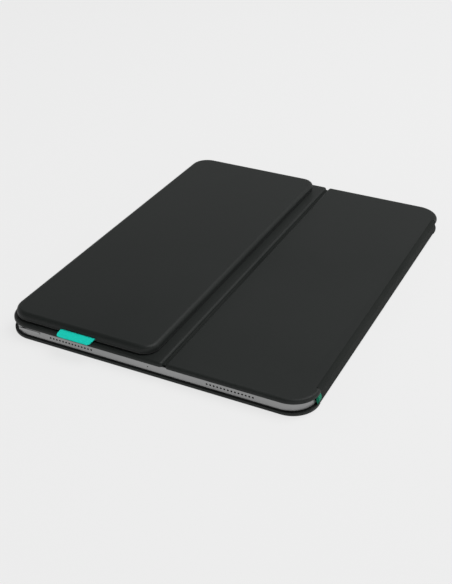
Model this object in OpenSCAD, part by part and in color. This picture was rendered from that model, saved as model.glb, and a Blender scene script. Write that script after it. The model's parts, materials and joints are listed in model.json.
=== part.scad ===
// Tablet keyboard case: a closed folio that holds a slim tablet, with a
// detachable keyboard stowed keys-down on the outside of its folding cover.
// X runs across the tablet, Y along it and Z up. The spine is on the +X side.

/* [Tablet] */
// Width of the tablet, across its short side
tablet_w = 214.9; // [178:0.1:260]
// Length of the tablet, along its long side
tablet_l = 280.6; // [232:0.2:340]
// Thickness of the tablet
tablet_t = 6.1; // [5:0.1:7.5]
// Radius of the tablet's corners
tablet_r = 17; // [13:0.5:21]

/* [Case] */
// How far the covers reach past the tablet on the open long side
open_overhang = 2.1; // [1:0.1:4]
// How far the covers reach past the tablet at each short side
end_overhang = 1.2; // [0.6:0.1:3]
// How much larger than the tablet's the covers' corner radius is
corner_growth = 1; // [0:0.5:3]
// Thickness of the back cover
back_t = 2.9; // [2.7:0.1:4.5]
// Thickness of each front panel
cover_t = 2.8; // [2.4:0.1:4]
// Thickness of the spine, skin and board together
spine_t = 1.6; // [1.3:0.1:2.4]
// Clearance between the tablet and what faces it
fit_gap = 0.2; // [0.1:0.05:0.5]
// Thickness of a cover's outer skin over its board
skin_t = 0.8; // [0.6:0.05:1.2]
// Width of a skin's turned-in rim round its board
skin_rim = 1.2; // [0.9:0.1:2]
// Thickness of the soft lining
lining_t = 0.5; // [0.3:0.05:0.8]
// Radius of the panels' outer top edges
panel_edge_r = 2; // [1:0.1:2.2]
// Radius of the back cover's lower edge
back_edge_r = 1.5; // [0.8:0.1:2]

/* [Folds] */
// Width of the hinge panel, from the crease's centre to the spine's outside
hinge_panel_w = 97.4; // [78:0.2:120]
// Width of the groove between the two front panels
crease_gap = 2; // [1.6:0.1:3]
// Thickness of the flexible strip in the groove
crease_t = 0.8; // [0.5:0.05:1.2]
// Radius of the panels' corners beside the groove
crease_corner_r = 2.2; // [2:0.1:4]
// Outside radius of the folds along the spine
fold_r = 2.6; // [2.2:0.1:3.2]
// Thickness of the folds' material
fold_t = 1.4; // [1:0.1:1.8]
// Distance from the spine's outside to each fold's axis
fold_axis_in = 0.8; // [0.6:0.1:1.2]
// Distance from the covers' outside faces to each fold's axis
fold_axis_down = 2; // [1.6:0.1:2.4]
// How far short of the corner rounding the spine stops
spine_stop = 2; // [1:0.5:6]

/* [Camera window] */
// Side of the window in the back cover
window_w = 38; // [30:0.5:46]
// Corner radius of the window
window_r = 9; // [6:0.5:12]
// Distance from the tablet's edges to the middle of the window
window_in = 26; // [24:0.5:32]
// Wall of the trim that lines the window
window_trim_t = 1; // [0.7:0.1:1.6]

/* [Keyboard] */
// Thickness of the keyboard
kb_t = 5.5; // [5:0.1:7]
// Distance from the cover's open long edge to the keyboard
kb_open_in = 2.8; // [1:0.1:6]
// Distance from the groove's near wall to the keyboard
kb_crease_in = 8.5; // [6:0.5:14]
// Distance from the cover's short edges to the keyboard
kb_end_in = 2.8; // [1.5:0.1:6]
// Gap between the keyboard's rim and the cover
kb_gap = 0.3; // [0.1:0.05:0.6]
// Radius of the keyboard's two corners on the open side
kb_outer_r = 14; // [8:0.5:17]
// Radius of the keyboard's two corners beside the groove
kb_inner_r = 10.5; // [8:0.5:16]
// Radius of the keyboard's upper edge
kb_edge_r = 3.2; // [1:0.1:3.4]
// Radius of the keyboard's lower rim edge
kb_rim_r = 0.8; // [0.4:0.1:1]
// Thickness of the base shell's wall
kb_wall = 1.2; // [1:0.1:1.5]
// Thickness of the base shell's floor
kb_floor = 0.75; // [0.6:0.05:1]
// Border between the long edges and the key field
side_border = 5.5; // [5:0.1:8]
// Border between the short edges and the key field
end_border = 7.25; // [7:0.05:12]

/* [Keys] */
// Gap between neighbouring keys
key_gap = 1.6; // [1.2:0.1:2.4]
// Depth of the row of low keys along the groove side
low_row = 9.5; // [7.5:0.1:12]
// Corner radius of a key
key_r = 1.6; // [1:0.1:2]
// Thickness of a key cap
key_t = 1.1; // [0.9:0.05:1.3]
// How far the keys lie below the rim's face
key_recess = 0.25; // [0.15:0.05:0.5]
// Travel of the keys
key_travel = 0.8; // [0.4:0.05:0.8]
// Clearance round a key in its opening
key_fit = 0.3; // [0.2:0.05:0.4]
// Depth of the hollow in the face of a key
key_dish = 0.12; // [0.05:0.01:0.2]
// Depth of the field that the keys stand in
field_depth = 0.9; // [0.7:0.05:1]
// Thickness of the deck between the keys
web_t = 0.6; // [0.5:0.05:0.8]

/* [Pull tab] */
// Width of the pull tab
tab_w = 26; // [16:0.5:36]
// How far the pull tab sticks out of the keyboard
tab_out = 7.1; // [4:0.1:12]
// Thickness of the pull tab
tab_t = 0.7; // [0.5:0.05:0.8]
// Radius of the pull tab's corners
tab_r = 2.2; // [1:0.1:3]

/* [Corner tag] */
// Length of the tag along the spine
tag_l = 4; // [2:0.5:6]
// Height of the tag's lens-shaped section
tag_h = 6.2; // [4:0.2:7.4]
// Width of the tag's lens-shaped section
tag_w = 1.8; // [1.2:0.1:2.4]

/* [Tablet details] */
// Holes in each speaker grille
grille_count = 14; // [6:1:20]
// Distance between the grille's holes
grille_pitch = 2.4; // [2:0.05:2.8]
// Diameter of a grille hole
grille_d = 1.3; // [0.8:0.05:1.6]
// Distance from the tablet's middle to the middle of a grille
grille_off = 57.3; // [45:0.1:62]
// Rim of the housing round the glass
bezel_rim = 1.3; // [1:0.1:2]
// Thickness of the cover glass
glass_t = 0.7; // [0.5:0.05:1]
// Border between the glass's edge and the display
display_border = 7; // [5:0.5:12]

/* [Hidden] */
$fn = 48;

// Levels, from the table up
tablet_z0 = back_t + fit_gap;
tablet_z1 = tablet_z0 + tablet_t;
cover_z0 = tablet_z1 + fit_gap;
cover_z1 = cover_z0 + cover_t;
kb_z0 = cover_z1 + kb_gap;
kb_z1 = kb_z0 + kb_t;

// Outline of the case and place of the tablet in it
case_w = tablet_w + open_overhang + fit_gap + spine_t;
case_l = tablet_l + 2 * end_overhang;
case_r = tablet_r + corner_growth;
x_open = -case_w / 2;
x_spine = case_w / 2;
y_end = case_l / 2;
tablet_x0 = x_open + open_overhang;
tablet_x1 = tablet_x0 + tablet_w;
tablet_cx = (tablet_x0 + tablet_x1) / 2;
tablet_y = tablet_l / 2;

// Crease and folds
crease_x = x_spine - hinge_panel_w;
flap_x1 = crease_x - crease_gap / 2;
hinge_x0 = crease_x + crease_gap / 2;
fold_x = x_spine - fold_r;
rigid_x = fold_x - 0.6;
spine_y = y_end - case_r - spine_stop;
notch_play = 0.3;
tag_room = tag_l + 0.1;
tag_z0 = tablet_z0 + 0.1;

// Inside of a cover: a board and a lining in the skin's pocket
part_play = 0.1;
bar_play = 0.1;
bar_w = 3;

// Keyboard outline and levels
kb_x0 = x_open + kb_open_in;
kb_x1 = flap_x1 - kb_crease_in;
kb_cx = (kb_x0 + kb_x1) / 2;
kb_y = y_end - kb_end_in;
seam_z = kb_z0 + 1.1;
web_z0 = kb_z0 + field_depth;
web_z1 = web_z0 + web_t;
cap_z0 = kb_z0 + key_recess;
cap_z1 = cap_z0 + key_t;
cap_edge_r = 0.3;
cap_lip = 0.8;
dome_z1 = cap_z1 + key_travel + 0.1;
sheet_t = 0.2;
plate_z0 = dome_z1 + sheet_t;
plate_t = 0.3;
plate_z1 = plate_z0 + plate_t;
floor_z = kb_z1 - kb_floor;
cavity_r = max(kb_edge_r - kb_wall, 0);

// Key field, with the low row beside the groove and the space bar's row
// on the open side. A row's keys run from -Y to +Y, and a key's width is
// in units of one letter key.
field_x0 = kb_x0 + side_border;
field_x1 = kb_x1 - side_border;
field_y = kb_y - end_border;
row_units = 14.5;
unit = 2 * field_y / row_units;
row_depth = (field_x1 - field_x0 - low_row) / 5;
ones = [for (i = [1:13]) 1];
LOW_KEYS = concat([1.5], ones);
NUMBER_KEYS = concat(ones, [1.5]);
UPPER_KEYS = concat([1.5], ones);
HOME_KEYS = concat([1.75], [for (i = [1:11]) 1], [1.75]);
LOWER_KEYS = concat([2.25], [for (i = [1:10]) 1], [2.25]);
BOTTOM_KEYS = [1, 1, 1, 1.25, 5, 1.25, 1, 1, 1, 1];
SPACE = 4;
ROWS = [BOTTOM_KEYS, LOWER_KEYS, HOME_KEYS, UPPER_KEYS, NUMBER_KEYS, LOW_KEYS];

// Far end of the keyboard: port, switch and light
port_w = 9;
port_h = 2.9;
port_z = floor_z - 0.1 - port_h / 2;
port_in_edge = max(kb_edge_r - (kb_z1 - port_z - port_h / 2), 0);
port_inset = kb_edge_r - sqrt(pow(kb_edge_r, 2) - pow(port_in_edge, 2)) + 0.05;
port_depth = 5.6;
port_wall = 0.25;
switch_x = kb_cx - 26;
switch_w = 3.4;
switch_travel = 2;
switch_h = 1.3;
switch_z = min((web_z1 + floor_z) / 2, web_z1 + 1.05);
light_x = kb_cx + 16;
light_r = 0.6;

// Tablet details
window_x = tablet_x0 + window_in;
window_y = -tablet_y + window_in;
button_h = 1.7;
button_travel = 0.25;
button_out = 0.3;
button_in = 0.9;
top_button_w = 16.5;
top_button_x = tablet_x0 + 17.85;
volume_w = 11;
volume_y = [-tablet_y + 27, -tablet_y + 40];

// ---- shapes ----

// Rectangle with its own radius at each corner: [near open side, near spine
// side, far spine side, far open side]
module outline(x0, x1, y0, y1, r) {
    polygon([[x0 + r[0], y0], [x1 - r[1], y0], [x1, y0 + r[1]], [x1, y1 - r[2]],
             [x1 - r[2], y1], [x0 + r[3], y1], [x0, y1 - r[3]], [x0, y0 + r[0]]]);
    translate([x0 + r[0], y0 + r[0]]) circle(r[0]);
    translate([x1 - r[1], y0 + r[1]]) circle(r[1]);
    translate([x1 - r[2], y1 - r[2]]) circle(r[2]);
    translate([x0 + r[3], y1 - r[3]]) circle(r[3]);
}

// Flat plate with that outline
module plate(x0, x1, y0, y1, r, z0, z1) {
    translate([0, 0, z0]) linear_extrude(z1 - z0) outline(x0, x1, y0, y1, r);
}

// Quarter of a disc, in the corner where both axes are positive
module quarter(r) {
    intersection() {
        circle(r);
        square(r);
    }
}

// Section of a rim, d deep and h high, with its outer edges rounded by
// top and bottom
module rim_section(d, h, top, bottom) {
    polygon(concat(
        [[0, 0]],
        bottom > 0 ? [[d - bottom, 0], [d, bottom]] : [[d, 0]],
        top > 0 ? [[d, h - top], [d - top, h]] : [[d, h]],
        [[0, h]]));
    if (top > 0) translate([d - top, h - top]) quarter(top);
    if (bottom > 0) translate([d - bottom, bottom]) mirror([0, 1]) quarter(bottom);
}

// One quarter of a round corner, turned into place
module slab_corner(x, y, turn, r, h, top, bottom) {
    translate([x, y, 0]) rotate([0, 0, turn])
        rotate_extrude(angle = 90) rim_section(r, h, top, bottom);
}

// Straight run of rim from one corner to the next
module slab_side(x, y, turn, length, d, h, top, bottom) {
    translate([x, y, 0]) rotate([0, 0, turn]) rotate([90, 0, 90])
        translate([-d, 0, 0]) linear_extrude(length) rim_section(d, h, top, bottom);
}

// Plate whose outer edges are rounded, above by top and below by bottom
module slab(x0, x1, y0, y1, r, z0, z1, top, bottom) {
    h = z1 - z0;
    d = min(min(r) - 0.05, max(top, bottom) + 0.1);
    translate([0, 0, z0]) {
        slab_corner(x0 + r[0], y0 + r[0], 180, r[0], h, top, bottom);
        slab_corner(x1 - r[1], y0 + r[1], 270, r[1], h, top, bottom);
        slab_corner(x1 - r[2], y1 - r[2], 0, r[2], h, top, bottom);
        slab_corner(x0 + r[3], y1 - r[3], 90, r[3], h, top, bottom);
        slab_side(x1 - r[1], y0, 180, x1 - x0 - r[0] - r[1], d, h, top, bottom);
        slab_side(x1, y1 - r[2], 270, y1 - y0 - r[1] - r[2], d, h, top, bottom);
        slab_side(x0 + r[3], y1, 0, x1 - x0 - r[2] - r[3], d, h, top, bottom);
        slab_side(x0, y0 + r[0], 90, y1 - y0 - r[0] - r[3], d, h, top, bottom);
        linear_extrude(h) polygon([
            [x0 + r[0], y0 + d], [x1 - r[1], y0 + d], [x1 - r[1], y0 + r[1]],
            [x1 - d, y0 + r[1]], [x1 - d, y1 - r[2]], [x1 - r[2], y1 - r[2]],
            [x1 - r[2], y1 - d], [x0 + r[3], y1 - d], [x0 + r[3], y1 - r[3]],
            [x0 + d, y1 - r[3]], [x0 + d, y0 + r[0]], [x0 + r[0], y0 + r[0]]]);
    }
}

// Bar with half-round ends, w wide and h high, running l along Y from y0
module stadium_y(cx, cz, w, h, y0, l) {
    translate([cx, y0 + l, cz]) rotate([90, 0, 0]) linear_extrude(l) {
        translate([-(w - h) / 2, 0]) circle(h / 2);
        translate([(w - h) / 2, 0]) circle(h / 2);
        square([w - h, h], center = true);
    }
}

// The same bar running l along X from x0
module stadium_x(cy, cz, w, h, x0, l) {
    translate([x0, cy, cz]) rotate([0, 0, 90]) stadium_y(0, 0, w, h, -l, l);
}

// Upright bars of one width and length, centred on each [x, y]
module bars(places, w, l, z0, z1, grow = 0) {
    for (p = places)
        translate([p[0] - w / 2 - grow, p[1] - l / 2 - grow, z0])
            cube([w + 2 * grow, l + 2 * grow, z1 - z0]);
}

// ---- back cover ----

back_bars = [for (sx = [-1, 1], sy = [-1, 1]) [tablet_cx + sx * 85, sy * 60]];
back_bar_l = 50;
back_board_z1 = back_t - lining_t;

// What fills the back cover's pocket, less play all round
module back_fill(z0, z1, play) {
    r = case_r - skin_rim;
    plate(x_open + skin_rim + play, rigid_x - skin_rim - play,
          -y_end + skin_rim + play, y_end - skin_rim - play,
          [r, r, r, r], z0, z1);
}

// Square hole with round corners, of a given half side, at the camera
module window_hole(half, r, z0, z1) {
    plate(window_x - half, window_x + half, window_y - half, window_y + half,
          [r, r, r, r], z0, z1);
}

module trim_room() {
    window_hole(window_w / 2 + window_trim_t + part_play, window_r + window_trim_t,
                -1, back_t + 1);
}

module back_cover_skin() {
    color("#262827") difference() {
        slab(x_open, x_spine, -y_end, y_end, [case_r, case_r, case_r, case_r],
             0, back_t, 0.3, back_edge_r);
        back_fill(skin_t, back_t + 1, 0);
        translate([rigid_x, -spine_y - notch_play, -1])
            cube([fold_r + 2, 2 * (spine_y + notch_play), back_t + 2]);
        trim_room();
    }
}

module back_cover_board() {
    color("#8a8474") difference() {
        back_fill(skin_t, back_board_z1, part_play);
        bars(back_bars, bar_w, back_bar_l, 0, back_t, bar_play);
        trim_room();
    }
}

module back_cover_lining() {
    color("#3a3b3c") difference() {
        back_fill(back_board_z1, back_t, part_play);
        trim_room();
    }
}

module back_cover_magnets() {
    color("#b9bcbe") bars(back_bars, bar_w, back_bar_l, skin_t, back_board_z1);
}

module camera_window_trim() {
    color("#1b1c1c") difference() {
        window_hole(window_w / 2 + window_trim_t, window_r + window_trim_t,
                    0.15, back_t - 0.1);
        window_hole(window_w / 2, window_r, -1, back_t + 1);
    }
}

// ---- spine and folds ----

spine_skin_t = 0.9;
spine_board_in = 0.4;

// Quarter-round fold with a short flange toward the rigid cover
module fold_section() {
    intersection() {
        difference() {
            circle(fold_r);
            circle(fold_r - fold_t);
        }
        square(fold_r);
    }
    translate([rigid_x - fold_x, fold_r - fold_t]) square([fold_x - rigid_x, fold_t]);
}

module along_spine(length) {
    translate([0, length, 0]) rotate([90, 0, 0]) linear_extrude(2 * length) children();
}

module upper_fold() {
    color("#303231") translate([fold_x, 0, cover_z1 - fold_r])
        along_spine(spine_y) fold_section();
}

module lower_fold() {
    color("#303231") translate([fold_x, 0, fold_r])
        along_spine(spine_y) mirror([0, 1]) fold_section();
}

module spine_skin() {
    color("#2c2e2d") translate([x_spine - spine_skin_t, -spine_y, fold_r])
        cube([spine_skin_t, 2 * spine_y, cover_z1 - 2 * fold_r]);
}

module spine_board() {
    color("#8a8474")
        translate([tablet_x1 + fit_gap, -spine_y + 1, fold_r + spine_board_in])
            cube([spine_t - spine_skin_t, 2 * (spine_y - 1),
                  cover_z1 - 2 * (fold_r + spine_board_in)]);
}

// Ribbon tag whose lens-shaped end shows between the corners of the covers
module corner_tag() {
    lens_r = (tag_h * tag_h + tag_w * tag_w) / (4 * tag_w);
    color("#0a8a66")
        translate([x_spine + 0.5 - tag_w / 2, -spine_y - 0.05,
                   tag_z0 + tag_h / 2])
            rotate([90, 0, 0]) linear_extrude(tag_l) intersection() {
                translate([lens_r - tag_w / 2, 0]) circle(lens_r, $fn = 180);
                translate([tag_w / 2 - lens_r, 0]) circle(lens_r, $fn = 180);
            }
}

// ---- front panels ----

board_z0 = cover_z0 + lining_t;
board_z1 = cover_z1 - skin_t;
hinge_corners = [crease_corner_r, case_r, case_r, crease_corner_r];
flap_corners = [case_r, crease_corner_r, crease_corner_r, case_r];
hinge_bars = [for (sy = [-1, 1]) [hinge_x0 + 14, sy * 72]];
hinge_bar_l = 56;
closure_bars = [for (sy = [-1, 1]) [x_open + 7, sy * 44]];
closure_bar_l = 26;
kb_bar_off = 0.4;
kb_bar_in = kb_wall + kb_bar_off + bar_w / 2;
kb_bar_under = max(cavity_r - kb_bar_off, 0);
kb_bar_z1 = floor_z - 0.15 - cavity_r + sqrt(pow(cavity_r, 2) - pow(kb_bar_under, 2));
kb_bars = [for (x = [kb_x0 + kb_bar_in, kb_x1 - kb_bar_in], s = [-1, 0, 1])
           [x, s * 0.31 * case_l]];
kb_bar_l = 40;
keeper_w = 5;
keeper_l = kb_bar_l + 4;

module hinge_fill(z0, z1, play) {
    plate(hinge_x0 + skin_rim + play, rigid_x - skin_rim - play,
          -y_end + skin_rim + play, y_end - skin_rim - play,
          [for (r = hinge_corners) r - skin_rim], z0, z1);
}

module flap_fill(z0, z1, play) {
    plate(x_open + skin_rim + play, flap_x1 - skin_rim - play,
          -y_end + skin_rim + play, y_end - skin_rim - play,
          [for (r = flap_corners) r - skin_rim], z0, z1);
}

module hinge_panel_skin() {
    color("#303332") difference() {
        slab(hinge_x0, x_spine, -y_end, y_end, hinge_corners,
             cover_z0, cover_z1, panel_edge_r, 0);
        hinge_fill(cover_z0 - 1, board_z1, 0);
        translate([rigid_x, -spine_y - notch_play, cover_z0 - 1])
            cube([fold_r + 2, 2 * (spine_y + notch_play), cover_t + 2]);
        translate([rigid_x, -spine_y - tag_room - notch_play, cover_z0 - 1])
            cube([fold_r + 2, tag_room + 2 * notch_play, tag_z0 + tag_h + part_play - cover_z0 + 1]);
    }
}

module hinge_panel_board() {
    color("#8a8474") difference() {
        hinge_fill(board_z0, board_z1, part_play);
        bars(hinge_bars, bar_w, hinge_bar_l, cover_z0, cover_z1, bar_play);
    }
}

module hinge_panel_lining() {
    color("#3a3b3c") hinge_fill(cover_z0, board_z0, part_play);
}

module hinge_panel_magnets() {
    color("#b9bcbe") bars(hinge_bars, bar_w, hinge_bar_l, board_z0, board_z1);
}

module crease_strip() {
    color("#202221")
        translate([flap_x1, -y_end + crease_corner_r, cover_z0 + 0.4])
            cube([crease_gap, case_l - 2 * crease_corner_r, crease_t]);
}

module flap_panel_skin() {
    color("#2d302f") difference() {
        slab(x_open, flap_x1, -y_end, y_end, flap_corners,
             cover_z0, cover_z1, panel_edge_r, 0);
        flap_fill(cover_z0 - 1, board_z1, 0);
    }
}

module flap_panel_board() {
    color("#8a8474") difference() {
        flap_fill(board_z0, board_z1, part_play);
        bars(closure_bars, bar_w, closure_bar_l, cover_z0, cover_z1, bar_play);
        bars(kb_bars, keeper_w, keeper_l, cover_z0, cover_z1, bar_play);
    }
}

module flap_panel_lining() {
    color("#3a3b3c") flap_fill(cover_z0, board_z0, part_play);
}

module closure_magnets() {
    color("#b9bcbe") bars(closure_bars, bar_w, closure_bar_l, board_z0, board_z1);
}

module keeper_plates() {
    color("#9a9d9f") bars(kb_bars, keeper_w, keeper_l, board_z0, board_z1);
}

// ---- keyboard ----

kb_corners = [kb_outer_r, kb_inner_r, kb_inner_r, kb_outer_r];
field_rim = 0.6;

// What lies inside the keyboard's outline, inset all round
module kb_inset(inset, z0, z1) {
    plate(kb_x0 + inset, kb_x1 - inset, -kb_y + inset, kb_y - inset,
          [for (r = kb_corners) r - inset], z0, z1);
}

// Keyboard's plate under the whole key field, grown all round
module field_plate(grow, r, z0, z1) {
    plate(field_x0 - grow, field_x1 + grow, -field_y - grow, field_y + grow,
          [r, r, r, r], z0, z1);
}

function sum_to(list, n) = n <= 0 ? 0 : list[n - 1] + sum_to(list, n - 1);
function row_x0(row) = field_x0 + row * row_depth;
function row_x1(row) = row < 5 ? row_x0(row + 1) : field_x1;
function key_y(row, key) = -field_y + unit * sum_to(ROWS[row], key);

// Runs its children's shape over keys first to last of a row, with the
// key's own corners in $key
module each_key(row, first, last) {
    for (key = [first:last]) {
        $key = [row_x0(row) + key_gap / 2, row_x1(row) - key_gap / 2,
                key_y(row, key) + key_gap / 2, key_y(row, key + 1) - key_gap / 2];
        children();
    }
}

module all_keys() {
    for (row = [0:5]) each_key(row, 0, len(ROWS[row]) - 1) children();
}

// Section of a cap: rounded face edges and, where dish is above 0, a
// shallow hollow between them
module cap_section(w, dish) {
    half = w / 2 - cap_lip;
    difference() {
        union() {
            translate([-w / 2, cap_edge_r]) square([w, key_t - cap_edge_r]);
            translate([-w / 2 + cap_edge_r, 0]) square([w - 2 * cap_edge_r, key_t]);
            for (s = [-1, 1])
                translate([s * (w / 2 - cap_edge_r), cap_edge_r]) circle(cap_edge_r);
        }
        if (dish > 0)
            polygon([for (i = [-6:6]) [half * i / 5, dish * (1 - pow(i / 5, 2))]]);
    }
}

// Cap with rounded face edges and a shallow hollow along the row
module key_cap() {
    w = $key[1] - $key[0];
    l = $key[3] - $key[2];
    intersection() {
        translate([($key[0] + $key[1]) / 2, $key[3], cap_z0])
            rotate([90, 0, 0]) linear_extrude(l) cap_section(w, key_dish);
        translate([$key[0], ($key[2] + $key[3]) / 2, cap_z0])
            rotate([90, 0, 90]) linear_extrude(w) cap_section(l, 0);
        plate($key[0], $key[1], $key[2], $key[3], [key_r, key_r, key_r, key_r],
              cap_z0 - 1, cap_z1 + 1);
    }
}

module key_row(row, first, last) {
    color("#1d1f20") each_key(row, first, last) key_cap();
}

module keyboard_base_shell() {
    color("#2b2d2c") {
        difference() {
            slab(kb_x0, kb_x1, -kb_y, kb_y, kb_corners, seam_z, kb_z1, kb_edge_r, 0);
            slab(kb_x0 + kb_wall, kb_x1 - kb_wall, -kb_y + kb_wall, kb_y - kb_wall,
                 [for (r = kb_corners) r - kb_wall], seam_z - 1, floor_z, cavity_r, 0);
            tab_slot();
            port_room();
            switch_slot();
            light_hole();
        }
        for (x = [field_x0 + 4, field_x1 - 4], s = [-2:2])
            translate([x, s * 0.22 * case_l, plate_z1]) cylinder(h = floor_z - plate_z1, r = 1.5);
    }
}

module keyboard_deck() {
    color("#232525") difference() {
        union() {
            slab(kb_x0, kb_x1, -kb_y, kb_y, kb_corners, kb_z0, seam_z, 0, kb_rim_r);
            kb_inset(kb_wall + part_play, seam_z, web_z1);
        }
        field_plate(field_rim, 3, kb_z0 - 1, web_z0);
        all_keys() plate($key[0] - key_fit, $key[1] + key_fit, $key[2] - key_fit,
                         $key[3] + key_fit, [1, 1, 1, 1] * (key_r + key_fit),
                         web_z0 - 0.5, web_z1 + 1);
        port_room();
    }
}

// Rubber sheet with a dome on the back of each key, and three on a long one
module dome_sheet() {
    color("#d9d6cc") {
        field_plate(0.2, 2, dome_z1, dome_z1 + sheet_t);
        all_keys() {
            mid = ($key[2] + $key[3]) / 2;
            long = $key[3] - $key[2] > 3 * unit;
            for (s = long ? [-1, 0, 1] : [0])
                translate([($key[0] + $key[1]) / 2, mid + s * 1.8 * unit, cap_z1])
                    cylinder(h = dome_z1 - cap_z1, r1 = 2, r2 = 3.2);
        }
    }
}

module key_backplate() {
    color("#a6a9ab") field_plate(0.3, 2, plate_z0, plate_z1);
}

module circuit_board() {
    color("#1f5c3a") translate([kb_cx - 30, field_y - 42, plate_z1])
        cube([60, kb_y - port_inset - port_depth - field_y + 42, 0.6]);
}

module battery_cell() {
    color("#c9ccce")
        plate(kb_cx - 32, kb_cx + 32, -0.22 * case_l + 4, 0.22 * case_l - 4,
              [2, 2, 2, 2], plate_z1, floor_z - 0.05);
}

module keyboard_magnets() {
    color("#b9bcbe") bars(kb_bars, bar_w, kb_bar_l, web_z1, kb_bar_z1);
}

// Charging port, its mouth in the keyboard's far side
module port_room() {
    stadium_y(kb_cx, port_z, port_w + 0.2, port_h + 0.2,
              kb_y - port_inset - port_depth - 0.1, port_depth + 2);
}

module charging_port() {
    y0 = kb_y - port_inset - port_depth;
    color("#9a9d9f") {
        difference() {
            stadium_y(kb_cx, port_z, port_w, port_h, y0, port_depth);
            stadium_y(kb_cx, port_z, port_w - 2 * port_wall, port_h - 2 * port_wall,
                      y0 + 0.5, port_depth);
        }
        translate([kb_cx - 3.1, y0 + 0.3, port_z - 0.35]) cube([6.2, port_depth - 1, 0.7]);
    }
}

// Slide switch: a knob in a slot, on a carriage behind the wall
switch_play = 0.2;
module switch_slot() {
    translate([switch_x - switch_w / 2 - switch_play, kb_y - 2 * kb_wall,
               switch_z - switch_h / 2 - 0.1])
        cube([switch_w + switch_travel + 2 * switch_play, 4 * kb_wall, switch_h + 0.2]);
}

module power_switch() {
    color("#4a4d4c") {
        translate([switch_x - switch_w / 2, kb_y - kb_wall - 0.9, switch_z - switch_h / 2])
            cube([switch_w, kb_wall + 0.75, switch_h]);
        translate([switch_x - switch_w / 2 - 1.6, kb_y - kb_wall - 0.9, switch_z - 0.85])
            cube([switch_w + 3.2, 0.8, 1.7]);
    }
}

module light_hole() {
    translate([light_x, kb_y + 1, switch_z]) rotate([90, 0, 0])
        cylinder(h = 4, r = light_r + 0.05);
}

module status_light() {
    color("#e8f2ee") translate([light_x, kb_y - 0.05, switch_z]) rotate([90, 0, 0])
        cylinder(h = kb_wall + 0.8, r = light_r);
}

tab_in = 6.6;
module tab_slot() {
    translate([kb_cx - tab_w / 2 - 0.2, -kb_y - 1, web_z1 - 0.05])
        cube([tab_w + 0.4, kb_wall + 2, tab_t + 0.15]);
}

module pull_tab() {
    color("#05c3af")
        plate(kb_cx - tab_w / 2, kb_cx + tab_w / 2, -kb_y - tab_out, -kb_y + tab_in,
              [tab_r, tab_r, 0.5, 0.5], web_z1, web_z1 + tab_t);
}

module low_row_keys() { key_row(5, 0, len(LOW_KEYS) - 1); }
module number_row_keys() { key_row(4, 0, len(NUMBER_KEYS) - 1); }
module upper_row_keys() { key_row(3, 0, len(UPPER_KEYS) - 1); }
module home_row_keys() { key_row(2, 0, len(HOME_KEYS) - 1); }
module lower_row_keys() { key_row(1, 0, len(LOWER_KEYS) - 1); }
module space_bar() { key_row(0, SPACE, SPACE); }
module bottom_row_keys() {
    key_row(0, 0, SPACE - 1);
    key_row(0, SPACE + 1, len(BOTTOM_KEYS) - 1);
}

// ---- tablet ----

display_t = 0.5;
tablet_mid = (tablet_z0 + tablet_z1) / 2;
button_z = tablet_mid + 0.85;
camera_w = 30;
camera_t = 0.6;

// What lies inside the tablet's outline, inset all round
module tablet_inset(inset, z0, z1) {
    r = tablet_r - inset;
    plate(tablet_x0 + inset, tablet_x1 - inset, -tablet_y + inset, tablet_y - inset,
          [r, r, r, r], z0, z1);
}

module camera_room(grow, z0, z1) {
    window_hole(camera_w / 2 + grow, window_r - 2 + grow, z0, z1);
}

module top_button_shape(y0, l, grow) {
    stadium_y(top_button_x, button_z, top_button_w + 2 * grow, button_h + 2 * grow, y0, l);
}

module volume_shape(n, x0, l, grow) {
    stadium_x(volume_y[n], tablet_mid, volume_w + 2 * grow, button_h + 2 * grow, x0, l);
}

module tablet_housing() {
    color("#8c8e90") difference() {
        slab(tablet_x0, tablet_x1, -tablet_y, tablet_y,
             [tablet_r, tablet_r, tablet_r, tablet_r], tablet_z0, tablet_z1, 0.35, 0.6);
        tablet_inset(bezel_rim, tablet_z1 - glass_t, tablet_z1 + 1);
        tablet_inset(display_border - 0.1, tablet_z1 - glass_t - display_t, tablet_z1 + 1);
        for (side = [-1, 1], end = [-1, 1], n = [0:grille_count - 1])
            translate([tablet_cx + side * grille_off + (n - (grille_count - 1) / 2) * grille_pitch,
                       end * tablet_y, tablet_mid])
                rotate([90, 0, 0]) cylinder(h = 2, r = grille_d / 2, center = true);
        translate([tablet_cx, -tablet_y, tablet_mid]) rotate([90, 0, 0])
            cylinder(h = 2, r = 0.4, center = true);
        top_button_shape(-tablet_y - 1, 1 + button_in, 0.1);
        for (n = [0, 1]) volume_shape(n, tablet_x0 - 1, 1 + button_in, 0.1);
        camera_room(0.1, tablet_z0 - 1, tablet_z0 + camera_t);
        stadium_y(tablet_cx, tablet_mid, port_w + 0.2, port_h + 0.2, tablet_y - 6.5, 8);
    }
}

module tablet_glass() {
    color("#0b0c0d") tablet_inset(bezel_rim + 0.05, tablet_z1 - glass_t, tablet_z1);
}

module tablet_display() {
    color("#101418") tablet_inset(display_border, tablet_z1 - glass_t - display_t,
                                  tablet_z1 - glass_t);
}

// Rear camera: a flush plate with two lenses set a little below its face
module tablet_camera() {
    color("#131415") difference() {
        camera_room(0, tablet_z0, tablet_z0 + camera_t);
        for (s = [-1, 1])
            translate([window_x - s * 6, window_y + s * 6, tablet_z0 - 1]) difference() {
                cylinder(h = 1.3, r = 5.6);
                translate([0, 0, 1.15]) cylinder(h = 1, r = 4.4);
            }
    }
}

module tablet_port() {
    color("#3c3e40") {
        difference() {
            stadium_y(tablet_cx, tablet_mid, port_w, port_h, tablet_y - 6.4, 6.3);
            stadium_y(tablet_cx, tablet_mid, port_w - 2 * port_wall, port_h - 2 * port_wall,
                      tablet_y - 5.9, 6.3);
        }
        translate([tablet_cx - 3.1, tablet_y - 6, tablet_mid - 0.35]) cube([6.2, 5, 0.7]);
    }
}

module top_button() {
    color("#88898b") top_button_shape(-tablet_y - button_out, button_out + 0.55, 0);
}

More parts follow.
